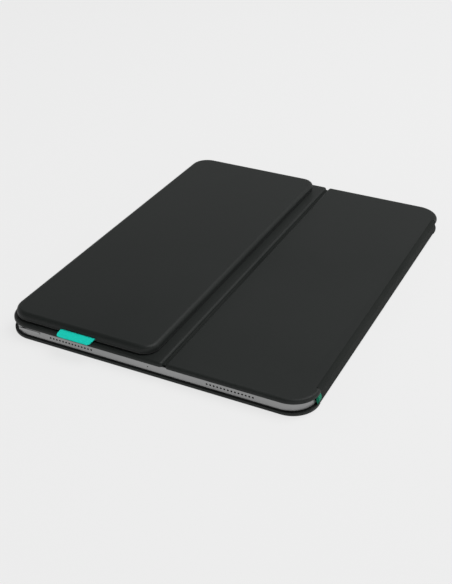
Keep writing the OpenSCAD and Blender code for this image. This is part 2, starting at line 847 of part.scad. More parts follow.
module volume_up_button() {
    color("#88898b") volume_shape(0, tablet_x0 - button_out, button_out + 0.55, 0);
}

module volume_down_button() {
    color("#88898b") volume_shape(1, tablet_x0 - button_out, button_out + 0.55, 0);
}

back_cover_skin();
back_cover_board();
back_cover_lining();
back_cover_magnets();
camera_window_trim();
spine_skin();
spine_board();
lower_fold();
upper_fold();
corner_tag();
hinge_panel_skin();
hinge_panel_board();
hinge_panel_lining();
hinge_panel_magnets();
crease_strip();
flap_panel_skin();
flap_panel_board();
flap_panel_lining();
closure_magnets();
keeper_plates();
keyboard_base_shell();
keyboard_deck();
dome_sheet();
key_backplate();
circuit_board();
battery_cell();
keyboard_magnets();
charging_port();
status_light();
power_switch();
pull_tab();
low_row_keys();
number_row_keys();
upper_row_keys();
home_row_keys();
lower_row_keys();
bottom_row_keys();
space_bar();
tablet_housing();
tablet_glass();
tablet_display();
tablet_camera();
tablet_port();
top_button();
volume_up_button();
volume_down_button();
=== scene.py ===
import json
import math

import bmesh
import bpy
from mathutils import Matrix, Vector

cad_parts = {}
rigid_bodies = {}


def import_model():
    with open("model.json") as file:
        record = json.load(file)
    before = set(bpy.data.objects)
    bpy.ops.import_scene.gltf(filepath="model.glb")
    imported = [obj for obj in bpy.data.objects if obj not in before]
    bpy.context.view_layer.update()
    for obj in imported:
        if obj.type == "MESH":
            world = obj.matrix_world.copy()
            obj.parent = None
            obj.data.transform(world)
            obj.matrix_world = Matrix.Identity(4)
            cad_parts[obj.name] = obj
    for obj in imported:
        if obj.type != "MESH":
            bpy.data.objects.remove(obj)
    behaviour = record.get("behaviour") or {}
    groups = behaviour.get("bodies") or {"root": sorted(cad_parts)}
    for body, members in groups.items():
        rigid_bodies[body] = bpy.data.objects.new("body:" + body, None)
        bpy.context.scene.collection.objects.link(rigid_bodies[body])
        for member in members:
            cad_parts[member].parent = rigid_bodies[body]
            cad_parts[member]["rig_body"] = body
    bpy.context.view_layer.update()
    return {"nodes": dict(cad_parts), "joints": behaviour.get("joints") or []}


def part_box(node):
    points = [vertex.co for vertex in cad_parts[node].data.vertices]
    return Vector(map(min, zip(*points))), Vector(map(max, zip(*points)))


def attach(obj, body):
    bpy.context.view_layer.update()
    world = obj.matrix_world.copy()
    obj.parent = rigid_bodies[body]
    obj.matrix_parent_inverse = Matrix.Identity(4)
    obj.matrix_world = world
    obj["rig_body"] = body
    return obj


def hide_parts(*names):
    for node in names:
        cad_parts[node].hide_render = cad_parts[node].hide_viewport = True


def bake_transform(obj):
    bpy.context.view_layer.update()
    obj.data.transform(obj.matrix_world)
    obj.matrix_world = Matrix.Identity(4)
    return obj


# Looks of a closed tablet keyboard case, built round its CAD frame.
# Lengths are in metres. +X points to the spine, +Y along the case, +Z up.
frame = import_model()
nodes = frame["nodes"]
mm = 0.001
mergeDistance = 0.001 * mm
print("frame loaded:", len(nodes), "nodes")


def deselectAll():
    if bpy.context.object and bpy.context.object.mode != "OBJECT":
        bpy.ops.object.mode_set(mode="OBJECT")
    bpy.ops.object.select_all(action="DESELECT")


def makeActive(piece):
    deselectAll()
    piece.select_set(True)
    bpy.context.view_layer.objects.active = piece


def editMode(piece, pick="EDGE"):
    makeActive(piece)
    bpy.ops.object.mode_set(mode="EDIT")
    bpy.ops.mesh.select_mode(type=pick)
    bpy.ops.mesh.select_all(action="DESELECT")


def objectMode():
    bpy.ops.object.mode_set(mode="OBJECT")


def pickEdges(piece, wanted):
    # selects the edges whose two ends pass the test
    shape = bmesh.from_edit_mesh(piece.data)
    for edge in shape.edges:
        edge.select_set(wanted(edge.verts[0].co, edge.verts[1].co))
    bmesh.update_edit_mesh(piece.data)


def near(a, b, slack=0.002 * mm):
    return abs(a - b) < slack


def addBlock(name, low, high):
    deselectAll()
    bpy.ops.mesh.primitive_cube_add(
        size=1, location=[(a + b) / 2 for a, b in zip(low, high)],
        scale=[b - a for a, b in zip(low, high)])
    block = bpy.context.object
    block.name = block.data.name = name
    bpy.ops.object.transform_apply(location=True, rotation=False, scale=True)
    return block


rounding = dict(cornerSteps=20, leastSteps=6, endSteps=4, fullRadius=10 * mm, rimSteps=7)


def roundCorners(block, low, high, radii, steps):
    # radii: near open side, near spine side, far spine side, far open side
    places = [(low[0], low[1]), (high[0], low[1]), (high[0], high[1]), (low[0], high[1])]
    editMode(block)
    for (x, y), radius in zip(places, radii):
        bpy.ops.mesh.select_all(action="DESELECT")
        pickEdges(block, lambda a, b: all(near(p.x, x) and near(p.y, y) for p in (a, b)))
        share = min(1, radius / rounding["fullRadius"])
        segments = max(rounding["leastSteps"], round(steps * share + rounding["endSteps"]))
        bpy.ops.mesh.bevel(offset=radius, segments=segments, profile=0.5, affect="EDGES",
                           clamp_overlap=False)
    objectMode()


def roundRim(block, z, radius):
    # rounds the edge all round a flat face at height z
    editMode(block)
    pickEdges(block, lambda a, b: near(a.z, z) and near(b.z, z))
    bpy.ops.mesh.bevel(offset=radius, segments=rounding["rimSteps"], profile=0.5, affect="EDGES",
                       clamp_overlap=False)
    objectMode()


def roundedBlock(name, low, high, radii, topRim=0, lowRim=0, steps=rounding["cornerSteps"]):
    block = addBlock(name, low, high)
    roundCorners(block, low, high, radii, steps)
    if topRim:
        roundRim(block, high[2], topRim)
    if lowRim:
        roundRim(block, low[2], lowRim)
    return block


def cutAway(piece, *cutters, operation="DIFFERENCE"):
    # each cutter is used up
    for cutter in cutters:
        makeActive(piece)
        cut = piece.modifiers.new("cut", "BOOLEAN")
        cut.operation = operation
        cut.solver = "EXACT"
        cut.object = cutter
        bpy.ops.object.modifier_apply(modifier=cut.name)
        bpy.data.objects.remove(cutter)


def applyModifier(piece, kind, **settings):
    makeActive(piece)
    modifier = piece.modifiers.new(kind.lower(), kind)
    for key, value in settings.items():
        setattr(modifier, key, value)
    bpy.ops.object.modifier_apply(modifier=modifier.name)


def smoothFinish(piece, angle=32):
    editMode(piece, "VERT")
    bpy.ops.mesh.select_all(action="SELECT")
    bpy.ops.mesh.remove_doubles(threshold=mergeDistance)
    bpy.ops.mesh.normals_make_consistent(inside=False)
    objectMode()
    makeActive(piece)
    bpy.ops.object.shade_smooth_by_angle(angle=math.radians(angle))
    applyModifier(piece, "WEIGHTED_NORMAL", keep_sharp=True)


def settle(piece, material, body, replaced):
    # gives a finished piece its material and body, and hides the CAD nodes that it replaces
    piece.data.materials.append(material)
    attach(piece, body)
    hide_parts(*replaced)
    return piece


def newMaterial(name):
    material = bpy.data.materials.new(name)
    material.use_nodes = True
    tree = material.node_tree
    shader = tree.nodes["Principled BSDF"]
    place = addNode(tree, "ShaderNodeTexCoord").outputs["Object"]
    return material, tree, shader, place


def addNode(tree, kind, sockets=None, **settings):
    node = tree.nodes.new(kind)
    for key, value in settings.items():
        setattr(node, key, value)
    for key, value in (sockets or {}).items():
        if isinstance(value, bpy.types.NodeSocket):
            tree.links.new(value, node.inputs[key])
        else:
            node.inputs[key].default_value = value
    return node


def noise(tree, place, scale, detail=3, roughness=0.5):
    return addNode(tree, "ShaderNodeTexNoise",
                   {"Vector": place, "Scale": scale, "Detail": detail,
                    "Roughness": roughness}).outputs["Fac"]


def ramp(tree, factor, stops):
    node = addNode(tree, "ShaderNodeValToRGB", {"Fac": factor})
    elements = node.color_ramp.elements
    while len(elements) < len(stops):
        elements.new(0.5)
    for element, (position, colour) in zip(elements, stops):
        element.position = position
        element.color = (*colour, 1)
    return node.outputs["Color"]


def spread(tree, value, low, high, fromLow=0.0, fromHigh=1.0):
    # a pattern from fromLow to fromHigh, stretched to run from low to high
    return addNode(tree, "ShaderNodeMapRange",
                   {"Value": value, "From Min": fromLow, "From Max": fromHigh,
                    "To Min": low, "To Max": high}).outputs["Result"]


def sums(tree, operation, a, b=0.0):
    return addNode(tree, "ShaderNodeMath", {0: a, 1: b}, operation=operation).outputs["Value"]


def blendColours(tree, factor, a, b):
    node = addNode(tree, "ShaderNodeMix", data_type="RGBA")
    for socket, value in ((node.inputs[0], factor), (node.inputs[6], a), (node.inputs[7], b)):
        if isinstance(value, bpy.types.NodeSocket):
            tree.links.new(value, socket)
        else:
            socket.default_value = value if isinstance(value, float) else (*value, 1)
    return node.outputs[2]


def addBump(tree, shader, height, strength, depth):
    bump = addNode(tree, "ShaderNodeBump",
                   {"Height": height, "Strength": strength, "Distance": depth})
    tree.links.new(bump.outputs["Normal"], shader.inputs["Normal"])


def feed(tree, shader, **values):
    # sets a shader's sockets, or links them where the value is a pattern
    for key, value in values.items():
        socket = shader.inputs[key]
        if isinstance(value, bpy.types.NodeSocket):
            tree.links.new(value, socket)
        elif isinstance(value, tuple):
            socket.default_value = (*value, 1)
        else:
            socket.default_value = value


def mixed(tree, a, shareA, b, shareB):
    # two patterns added, each by its share
    return sums(tree, "ADD", sums(tree, "MULTIPLY", a, shareA), sums(tree, "MULTIPLY", b, shareB))


wrapGrain = dict(cloudScale=9, fineScale=900, cloudShare=0.7, fineShare=0.3, tones=(0.3, 0.7),
                 wornFrom=0.505, wornTo=0.56, fineHeight=0.5, depth=0.06 * mm)


def grainedWrap(name, look):
    # thin coated wrap: pebble grain, slow cloudy tone, paler along worn edges
    material, tree, shader, place = newMaterial(name)
    cloudy = noise(tree, place, wrapGrain["cloudScale"], 4, 0.6)
    fine = noise(tree, place, wrapGrain["fineScale"], 3)
    tone = mixed(tree, cloudy, wrapGrain["cloudShare"], fine, wrapGrain["fineShare"])
    low, high = wrapGrain["tones"]
    colour = ramp(tree, tone, [(low, look["dark"]), (high, look["light"])])
    edge = addNode(tree, "ShaderNodeNewGeometry").outputs["Pointiness"]
    rubbed = spread(tree, edge, 0, look["wear"], wrapGrain["wornFrom"], wrapGrain["wornTo"])
    worn = sums(tree, "MULTIPLY", rubbed, cloudy)
    feed(tree, shader, **{"Base Color": blendColours(tree, worn, colour, look["worn"]),
                          "Roughness": spread(tree, tone, *look["roughness"], low, high),
                          "Specular IOR Level": look["gloss"]})
    pebble = addNode(tree, "ShaderNodeTexVoronoi",
                     {"Vector": place, "Scale": look["pebbles"], "Randomness": 1.0},
                     feature="SMOOTH_F1").outputs["Distance"]
    height = sums(tree, "ADD", pebble, sums(tree, "MULTIPLY", fine, wrapGrain["fineHeight"]))
    addBump(tree, shader, height, look["bump"], wrapGrain["depth"])
    return material


mouldGrain = dict(cloudScale=30, tones=(0.35, 0.65), shine=(0.3, 0.7), depth=0.05 * mm)


def moulded(name, look):
    # injection-moulded plastic with a spark-eroded grain
    material, tree, shader, place = newMaterial(name)
    cloudy = noise(tree, place, mouldGrain["cloudScale"], 3, 0.6)
    grain = noise(tree, place, look["grain"], 2, 0.7)
    low, high = mouldGrain["tones"]
    feed(tree, shader, **{
        "Base Color": ramp(tree, cloudy, [(low, look["dark"]), (high, look["light"])]),
        "Roughness": spread(tree, grain, *look["roughness"], *mouldGrain["shine"])})
    addBump(tree, shader, grain, look["bump"], mouldGrain["depth"])
    return material


feltNap = dict(patchScale=26, fibreScale=2600, patchShare=0.6, fibreShare=0.4, tones=(0.32, 0.68),
               bump=0.5, depth=0.12 * mm)


def brushedFelt(name, look):
    # short microfibre nap, with patches brushed either way
    material, tree, shader, place = newMaterial(name)
    patch = noise(tree, place, feltNap["patchScale"], 4, 0.65)
    fibre = noise(tree, place, feltNap["fibreScale"], 4, 0.8)
    tone = mixed(tree, patch, feltNap["patchShare"], fibre, feltNap["fibreShare"])
    low, high = feltNap["tones"]
    feed(tree, shader, **{
        "Base Color": ramp(tree, tone, [(low, look["dark"]), (high, look["light"])]),
        "Roughness": 0.95, "Sheen Weight": 0.25, "Sheen Roughness": 0.5,
        "Specular IOR Level": 0.2})
    addBump(tree, shader, fibre, feltNap["bump"], feltNap["depth"])
    return material


weave = dict(crossing=0.25, fuzzScale=5000, heightShare=0.75, fuzzShare=0.35, tones=(0.1, 0.8),
             depth=0.12 * mm)


def wovenRibbon(name, look):
    # plain weave: threads over and under each other, with painted shade in the hollows between
    # threads and the proud threads painted paler
    material, tree, shader, place = newMaterial(name)
    threads = 1 / look["thread"]
    counted = addNode(tree, "ShaderNodeMapping", {"Vector": place, "Scale": (threads,) * 3})
    split = addNode(tree, "ShaderNodeSeparateXYZ", {"Vector": counted.outputs["Vector"]})
    waves = [sums(tree, "SINE", sums(tree, "MULTIPLY", split.outputs[axis], math.pi))
             for axis in look["axes"]]
    product = sums(tree, "MULTIPLY", waves[0], waves[1])
    over = spread(tree, product, 0, 1, -weave["crossing"], weave["crossing"])
    ribs = [sums(tree, "ABSOLUTE", wave) for wave in waves]
    warp = sums(tree, "MULTIPLY", ribs[0], over)
    weft = sums(tree, "MULTIPLY", ribs[1], sums(tree, "SUBTRACT", 1.0, over))
    height = sums(tree, "ADD", warp, weft)
    fuzz = noise(tree, place, weave["fuzzScale"], 3, 0.7)
    # painted shade: the thread height darkens the colour between threads and paints the proud
    # threads paler
    tone = mixed(tree, height, weave["heightShare"], fuzz, weave["fuzzShare"])
    low, high = weave["tones"]
    feed(tree, shader, **{
        "Base Color": ramp(tree, tone, [(low, look["dark"]), (high, look["light"])]),
        "Roughness": 0.82, "Sheen Weight": look["sheen"], "Sheen Roughness": 0.4,
        "Specular IOR Level": 0.3})
    addBump(tree, shader, tone, look["bump"], weave["depth"])
    return material


blast = dict(cloudScale=12, tones=(0.3, 0.7), gauzeAndShade=(0.006, 0.006, 0.006), depth=0.02 * mm)


def blastedMetal(name, look):
    # bead-blasted and anodised, or tumbled and plated
    material, tree, shader, place = newMaterial(name)
    grain = noise(tree, place, look["grain"], 2, 0.6)
    cloudy = noise(tree, place, blast["cloudScale"], 3, 0.5)
    low, high = blast["tones"]
    colour = ramp(tree, cloudy, [(low, look["dark"]), (high, look["light"])])
    if "gauzeAndShade" in look:
        # black dust gauze and painted shade: the walls of the speaker holes are painted black from
        # a little way down
        split = addNode(tree, "ShaderNodeSeparateXYZ", {"Vector": place})
        inside = 1.0
        for axis, (middle, reach) in zip("XYZ", look["gauzeAndShade"]):
            away = sums(tree, "ABSOLUTE", sums(tree, "SUBTRACT", split.outputs[axis], middle))
            inside = sums(tree, "MULTIPLY", inside, sums(tree, "LESS_THAN", away, reach))
        colour = blendColours(tree, inside, colour, blast["gauzeAndShade"])
    feed(tree, shader, **{"Base Color": colour, "Metallic": 1.0,
                          "Roughness": spread(tree, grain, *look["roughness"], low, high)})
    addBump(tree, shader, grain, look["bump"], blast["depth"])
    return material


smears = dict(stretch=(1.0, 0.35, 1.0), scale=22, tones=(0.4, 0.75), roughness=(0.03, 0.13),
              dull=(0.5, 0.75))


def darkGlass(name, look):
    # polished glass with a few faint smears
    material, tree, shader, place = newMaterial(name)
    stretched = addNode(tree, "ShaderNodeMapping", {"Vector": place, "Scale": smears["stretch"]})
    smear = noise(tree, stretched.outputs["Vector"], smears["scale"], 5, 0.7)
    low, high = smears["tones"]
    feed(tree, shader, **{
        "Base Color": ramp(tree, smear, [(low, look["dark"]), (high, look["light"])]),
        "Roughness": spread(tree, smear, *smears["roughness"], *smears["dull"]),
        "IOR": 1.52, "Coat Weight": 0.3, "Coat Roughness": 0.03})
    return material


def clearRubber(name, look):
    # milky rubber sheet
    material, tree, shader, place = newMaterial(name)
    cloudy = noise(tree, place, look["clouds"], 3)
    feed(tree, shader, **{
        "Base Color": ramp(tree, cloudy, [(0.3, look["dark"]), (0.7, look["light"])]),
        "Roughness": spread(tree, cloudy, *look["roughness"]),
        "Subsurface Weight": 0.15, "Subsurface Scale": 1 * mm})
    addBump(tree, shader, noise(tree, place, look["grain"], 2), look["bump"], 0.05 * mm)
    return material


def greyBoard(name, look):
    # pressed fibre board with flecks
    material, tree, shader, place = newMaterial(name)
    fleck = addNode(tree, "ShaderNodeTexVoronoi",
                    {"Vector": place, "Scale": look["flecks"]}).outputs["Distance"]
    fibres = noise(tree, place, look["fibres"], 5, 0.75)
    tone = mixed(tree, fleck, 0.4, fibres, 0.7)
    feed(tree, shader, **{
        "Base Color": ramp(tree, tone, [(0.3, look["dark"]), (0.75, look["light"])]),
        "Roughness": 0.9})
    addBump(tree, shader, tone, look["bump"], 0.08 * mm)
    return material


def circuitMask(name, look):
    # solder mask over straight tracks
    material, tree, shader, place = newMaterial(name)
    tracks = addNode(tree, "ShaderNodeTexBrick",
                     {"Vector": place, "Scale": look["tracks"], "Mortar Size": look["gap"],
                      "Color1": (*look["light"], 1), "Color2": (*look["light"], 1),
                      "Mortar": (*look["dark"], 1)})
    dusk = spread(tree, noise(tree, place, look["grain"], 3), 0, 0.5, 0.4, 0.8)
    feed(tree, shader, **{
        "Base Color": blendColours(tree, dusk, tracks.outputs["Color"], look["dark"]),
        "Roughness": 0.35})
    addBump(tree, shader, tracks.outputs["Fac"], look["bump"], 0.04 * mm)
    return material


tabletLow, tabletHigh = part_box("tablet_housing")
tabletMid = (tabletLow + tabletHigh) / 2
# middle and half size of the room that holds the sunk part of every speaker hole, painted black
# there for the gauze and as painted shade
gauzeAndShadeRoom = dict(halfWidth=80 * mm, sunk=0.12 * mm, halfHeight=0.75 * mm)
grilleInside = [(tabletMid.x, gauzeAndShadeRoom["halfWidth"]), (0.0, tabletHigh.y - gauzeAndShadeRoom["sunk"]),
                (tabletMid.z, gauzeAndShadeRoom["halfHeight"])]

finishes = {
    "wrap": grainedWrap("charcoalWrap", dict(
        dark=(0.0106, 0.0128, 0.0118), light=(0.0148, 0.0172, 0.0161), worn=(0.04, 0.042, 0.04),
        wear=0.5, roughness=(0.46, 0.56), gloss=0.20, pebbles=1900.0, bump=0.14)),
    "shell": grainedWrap("charcoalShell", dict(
        dark=(0.0106, 0.0128, 0.0118), light=(0.0144, 0.0168, 0.0157), worn=(0.036, 0.038, 0.036),
        wear=0.35, roughness=(0.45, 0.54), gloss=0.205, pebbles=2400.0, bump=0.10)),
    "foldWrap": grainedWrap("foldWrap", dict(
        dark=(0.0106, 0.0128, 0.0118), light=(0.0148, 0.0172, 0.0161), worn=(0.04, 0.042, 0.04),
        wear=0.6, roughness=(0.62, 0.72), gloss=0.025, pebbles=1900.0, bump=0.2)),
    "lining": brushedFelt("charcoalLining", dict(
        dark=(0.022, 0.023, 0.024), light=(0.05, 0.052, 0.054))),
    "deck": moulded("charcoalDeck", dict(
        dark=(0.017, 0.018, 0.018), light=(0.023, 0.024, 0.024),
        grain=1800.0, roughness=(0.5, 0.62), bump=0.25)),
    "keyCap": moulded("blackKeyCap", dict(
        dark=(0.0085, 0.009, 0.0095), light=(0.0125, 0.013, 0.0138),
        grain=2600.0, roughness=(0.4, 0.52), bump=0.2)),
    "trim": moulded("satinTrim", dict(
        dark=(0.008, 0.008, 0.008), light=(0.012, 0.012, 0.012),
        grain=1500.0, roughness=(0.28, 0.36), bump=0.1)),
    "knob": moulded("greyKnob", dict(
        dark=(0.045, 0.048, 0.047), light=(0.065, 0.069, 0.067),
        grain=2200.0, roughness=(0.42, 0.52), bump=0.2)),
    "lightGuide": moulded("milkyLightGuide", dict(
        dark=(0.6, 0.65, 0.62), light=(0.74, 0.78, 0.75),
        grain=900.0, roughness=(0.2, 0.3), bump=0.05)),
    "tab": wovenRibbon("turquoiseWeave", dict(
        dark=(0.0006, 0.50, 0.40), light=(0.0012, 0.74, 0.59),
        thread=0.42 * mm, axes=("X", "Y"), sheen=0.02, bump=0.45)),
    # painted shade: the corner tag is the tab's turquoise weave made darker, for the shade at the
    # spine's end
    "tag": wovenRibbon("turquoiseWeaveInPaintedShade", dict(
        dark=(0.001, 0.12, 0.066), light=(0.002, 0.22, 0.125),
        thread=0.4 * mm, axes=("Y", "Z"), sheen=0.02, bump=0.4)),
    "housing": blastedMetal("greyAnodised", dict(
        dark=(0.30, 0.302, 0.302), light=(0.345, 0.347, 0.347),
        grain=5200.0, roughness=(0.36, 0.46), bump=0.12, gauzeAndShade=grilleInside)),
    "plated": blastedMetal("platedSteel", dict(
        dark=(0.5, 0.51, 0.52), light=(0.6, 0.61, 0.62),
        grain=900.0, roughness=(0.22, 0.34), bump=0.1)),
    "portMetal": blastedMetal("stampedSteel", dict(
        dark=(0.34, 0.345, 0.35), light=(0.42, 0.425, 0.43),
        grain=1800.0, roughness=(0.28, 0.38), bump=0.1)),
    "foil": blastedMetal("pouchFoil", dict(
        dark=(0.5, 0.51, 0.52), light=(0.66, 0.67, 0.68),
        grain=120.0, roughness=(0.25, 0.5), bump=0.6)),
    "glass": darkGlass("coverGlass", dict(
        dark=(0.004, 0.004, 0.0045), light=(0.009, 0.009, 0.01))),
    "display": darkGlass("unlitDisplay", dict(
        dark=(0.002, 0.002, 0.003), light=(0.005, 0.005, 0.006))),
    "lens": darkGlass("lensGlass", dict(
        dark=(0.003, 0.003, 0.004), light=(0.012, 0.012, 0.014))),
    "rubber": clearRubber("domeRubber", dict(
        dark=(0.6, 0.585, 0.54), light=(0.7, 0.685, 0.64),
        clouds=60, grain=1500, roughness=(0.35, 0.5), bump=0.1)),
    "board": greyBoard("greyBoard", dict(
        dark=(0.16, 0.145, 0.12), light=(0.27, 0.25, 0.21),
        flecks=900.0, fibres=400, bump=0.4)),
    "circuit": circuitMask("greenMask", dict(
        dark=(0.008, 0.07, 0.03), light=(0.015, 0.14, 0.06),
        tracks=260.0, gap=0.03, grain=700, bump=0.3)),
}
print("finishes made:", len(finishes))

# every CAD node carries a finish, also those that stay closed in
nodeFinish = {
    "back_cover_board": "board", "hinge_panel_board": "board", "flap_panel_board": "board",
    "spine_board": "lining", "back_cover_lining": "lining", "hinge_panel_lining": "lining",
    "flap_panel_lining": "lining", "back_cover_magnets": "plated", "hinge_panel_magnets": "plated",
    "closure_magnets": "plated", "keyboard_magnets": "plated", "keeper_plates": "portMetal",
    "back_cover_skin": "wrap", "hinge_panel_skin": "wrap", "flap_panel_skin": "wrap",
    "spine_skin": "foldWrap", "lower_fold": "foldWrap", "upper_fold": "foldWrap",
    "crease_strip": "foldWrap", "corner_tag": "tag", "camera_window_trim": "trim",
    "keyboard_base_shell": "shell", "keyboard_deck": "deck", "dome_sheet": "rubber",
    "key_backplate": "portMetal", "circuit_board": "circuit", "battery_cell": "foil",
    "charging_port": "portMetal", "status_light": "lightGuide", "power_switch": "knob",
    "pull_tab": "tab", "low_row_keys": "keyCap", "number_row_keys": "keyCap",
    "upper_row_keys": "keyCap", "home_row_keys": "keyCap", "lower_row_keys": "keyCap",
    "bottom_row_keys": "keyCap", "space_bar": "keyCap", "tablet_housing": "housing",
    "tablet_glass": "glass", "tablet_display": "display", "tablet_camera": "lens",
    "tablet_port": "portMetal", "top_button": "housing", "volume_up_button": "housing",
    "volume_down_button": "housing",
}
for nodeName, finish in nodeFinish.items():
    slots = nodes[nodeName].data.materials
    slots.clear()
    slots.append(finishes[finish])
print("finishes given to the CAD nodes")


cover = dict(openRadius=18 * mm, creaseRadius=2.2 * mm, topRim=2.0 * mm, footRim=1.5 * mm,
             backTopRim=0.35 * mm, rimWidth=1.2 * mm, wrap=0.8 * mm, notchPlay=0.3 * mm,
             notchReach=5 * mm, tagPlay=0.1 * mm, windowPlay=0.1 * mm, windowRadius=10.1 * mm)
# heights that a cutter reaches to: under the case, over the back cover, under the front
# cover and over it
belowAll, overBack, belowFront, overFront = -5 * mm, 8 * mm, 5 * mm, 20 * mm


def pocketBlock(low, high, radii, depthFrom, depthTo, spineEdge=None):
    # what a cover's board and lining fill, to be cut out of its wrap
    rim = cover["rimWidth"]
    inLow = [low[0] + rim, low[1] + rim, depthFrom]
    inHigh = [(spineEdge or high[0]) - rim, high[1] - rim, depthTo]
    return roundedBlock("pocket", inLow, inHigh, [r - rim for r in radii])


def spineNotch(start, end, low, high):
    # room along the spine side for the fold or the tag
    return addBlock("notch", (rigidX, start, low), (spineX + cover["notchReach"], end, high))


backLow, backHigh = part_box("back_cover_skin")
hingeLow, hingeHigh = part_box("hinge_panel_skin")
flapLow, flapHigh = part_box("flap_panel_skin")
tagLow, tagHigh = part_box("corner_tag")
# outside of the spine, its end, and where the stiff part of the covers stops before it
spineX = backHigh.x
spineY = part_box("spine_skin")[1].y
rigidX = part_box("upper_fold")[0].x
notchY = spineY + cover["notchPlay"]

# back cover, open over the folds and the camera
radii = [cover["openRadius"]] * 4
backWrap = roundedBlock("backCoverWrap", backLow, backHigh, radii,
                        topRim=cover["backTopRim"], lowRim=cover["footRim"])
trimLow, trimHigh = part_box("camera_window_trim")
seat = cover["windowPlay"]
windowCut = roundedBlock("windowCut", (trimLow.x - seat, trimLow.y - seat, belowAll),
                         (trimHigh.x + seat, trimHigh.y + seat, overBack),
                         [cover["windowRadius"]] * 4)
cutAway(backWrap,
        pocketBlock(backLow, backHigh, radii, cover["wrap"], overBack, rigidX),
        spineNotch(-notchY, notchY, belowAll, overBack), windowCut)
smoothFinish(backWrap)
settle(backWrap, finishes["wrap"], "back_cover", ["back_cover_skin"])

# hinge panel, open over the fold and the tag
radii = [cover["creaseRadius"], cover["openRadius"], cover["openRadius"], cover["creaseRadius"]]
hingeWrap = roundedBlock("hingePanelWrap", hingeLow, hingeHigh, radii, topRim=cover["topRim"])
cutAway(hingeWrap,
        pocketBlock(hingeLow, hingeHigh, radii, belowAll, hingeHigh.z - cover["wrap"], rigidX),
        spineNotch(-notchY, notchY, belowFront, overFront),
        spineNotch(tagLow.y - cover["notchPlay"], -spineY, belowFront,
                   tagHigh.z + cover["tagPlay"]))
smoothFinish(hingeWrap)
settle(hingeWrap, finishes["wrap"], "hinge_panel", ["hinge_panel_skin"])

# flap panel
radii = [cover["openRadius"], cover["creaseRadius"], cover["creaseRadius"], cover["openRadius"]]
flapWrap = roundedBlock("flapPanelWrap", flapLow, flapHigh, radii, topRim=cover["topRim"])
cutAway(flapWrap, pocketBlock(flapLow, flapHigh, radii, belowAll, flapHigh.z - cover["wrap"]))
smoothFinish(flapWrap)
settle(flapWrap, finishes["wrap"], "flap_panel", ["flap_panel_skin"])
print("covers made")


foldSheet = dict(radius=2.6 * mm, wall=0.85 * mm, steps=10, spineRows=4, smoothAngle=40)


def foldedSheet(name, upper):
    # one sheet from a cover's edge round its fold and over half of the spine
    radius = foldSheet["radius"]
    level, way = (hingeHigh.z, 1) if upper else (0.0, -1)
    width = (spineX - radius) - rigidX
    foldEnd = level - way * radius
    deselectAll()
    bpy.ops.mesh.primitive_plane_add(size=1, location=(0, 0, 0))
    sheet = bpy.context.object
    sheet.name = sheet.data.name = name
    sheet.scale = (width, 2 * spineY, 1)
    sheet.location = (rigidX + width / 2, 0, level)
    bpy.ops.object.transform_apply(location=True, rotation=False, scale=True)
    editMode(sheet)
    pickEdges(sheet, lambda a, b: near(a.x, rigidX + width) and near(b.x, rigidX + width))
    bpy.ops.mesh.spin(steps=foldSheet["steps"], angle=-math.pi / 2 * way,
                      center=(rigidX + width, 0, foldEnd), axis=(0, 1, 0))
    bpy.ops.mesh.select_all(action="DESELECT")
    pickEdges(sheet, lambda a, b: near(a.x, spineX) and near(b.x, spineX)
              and near(a.z, foldEnd) and near(b.z, foldEnd))
    row = (hingeHigh.z / 2 - foldEnd) / foldSheet["spineRows"]
    for part in range(foldSheet["spineRows"]):
        bpy.ops.mesh.extrude_region_move(TRANSFORM_OT_translate={"value": (0, 0, row)})
    bpy.ops.mesh.select_all(action="SELECT")
    bpy.ops.mesh.normals_make_consistent(inside=False)
    objectMode()
    return sheet


def sheetToWall(sheet, wall, outward):
    # gives a sheet its thickness on the inside, lined with felt there
    if sheet.data.polygons[0].normal.dot(outward) < 0:
        editMode(sheet, "FACE")
        bpy.ops.mesh.select_all(action="SELECT")
        bpy.ops.mesh.flip_normals()
        objectMode()
    sheet.data.materials.append(finishes["foldWrap"])
    sheet.data.materials.append(finishes["lining"])
    applyModifier(sheet, "SOLIDIFY", thickness=wall, offset=-1.0, use_even_offset=True,
                  material_offset=1, material_offset_rim=0)


for upper in (True, False):
    sheet = foldedSheet("upperFoldWrap" if upper else "lowerFoldWrap", upper)
    sheetToWall(sheet, foldSheet["wall"], Vector((0, 0, 1 if upper else -1)))
    smoothFinish(sheet, foldSheet["smoothAngle"])
    if upper:
        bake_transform(sheet)
        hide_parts("upper_fold")
    else:
        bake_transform(sheet)
        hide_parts("lower_fold", "spine_skin")

crease = dict(lap=0.5 * mm, wall=0.55 * mm, columns=10, rows=2, sag=0.18 * mm, smoothAngle=40)


def creaseSheet():
    # the strip at the bottom of the groove between the two front panels
    left, right = flapHigh.x - crease["lap"], hingeLow.x + crease["lap"]
    stripLow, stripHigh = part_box("crease_strip")
    deselectAll()
    bpy.ops.mesh.primitive_grid_add(
        x_subdivisions=crease["columns"], y_subdivisions=crease["rows"], size=1,
        location=((left + right) / 2, 0, stripHigh.z))
    strip = bpy.context.object
    strip.name = strip.data.name = "creaseSheet"
    strip.scale = (right - left, stripHigh.y - stripLow.y, 1)
    bpy.ops.object.transform_apply(location=True, rotation=False, scale=True)
    middle, reach = (left + right) / 2, (right - left) / 2
    for vertex in strip.data.vertices:
        across = (vertex.co.x - middle) / reach
        vertex.co.z -= crease["sag"] * (1 + math.cos(math.pi * across)) / 2
    sheetToWall(strip, crease["wall"], Vector((0, 0, 1)))
    smoothFinish(strip, crease["smoothAngle"])
    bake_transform(strip)
    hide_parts("crease_strip")


creaseSheet()
print("folds and crease made")


tagShape = dict(points=180, rim=0.12 * mm, rimSteps=3, rimAngle=40, smoothAngle=50)


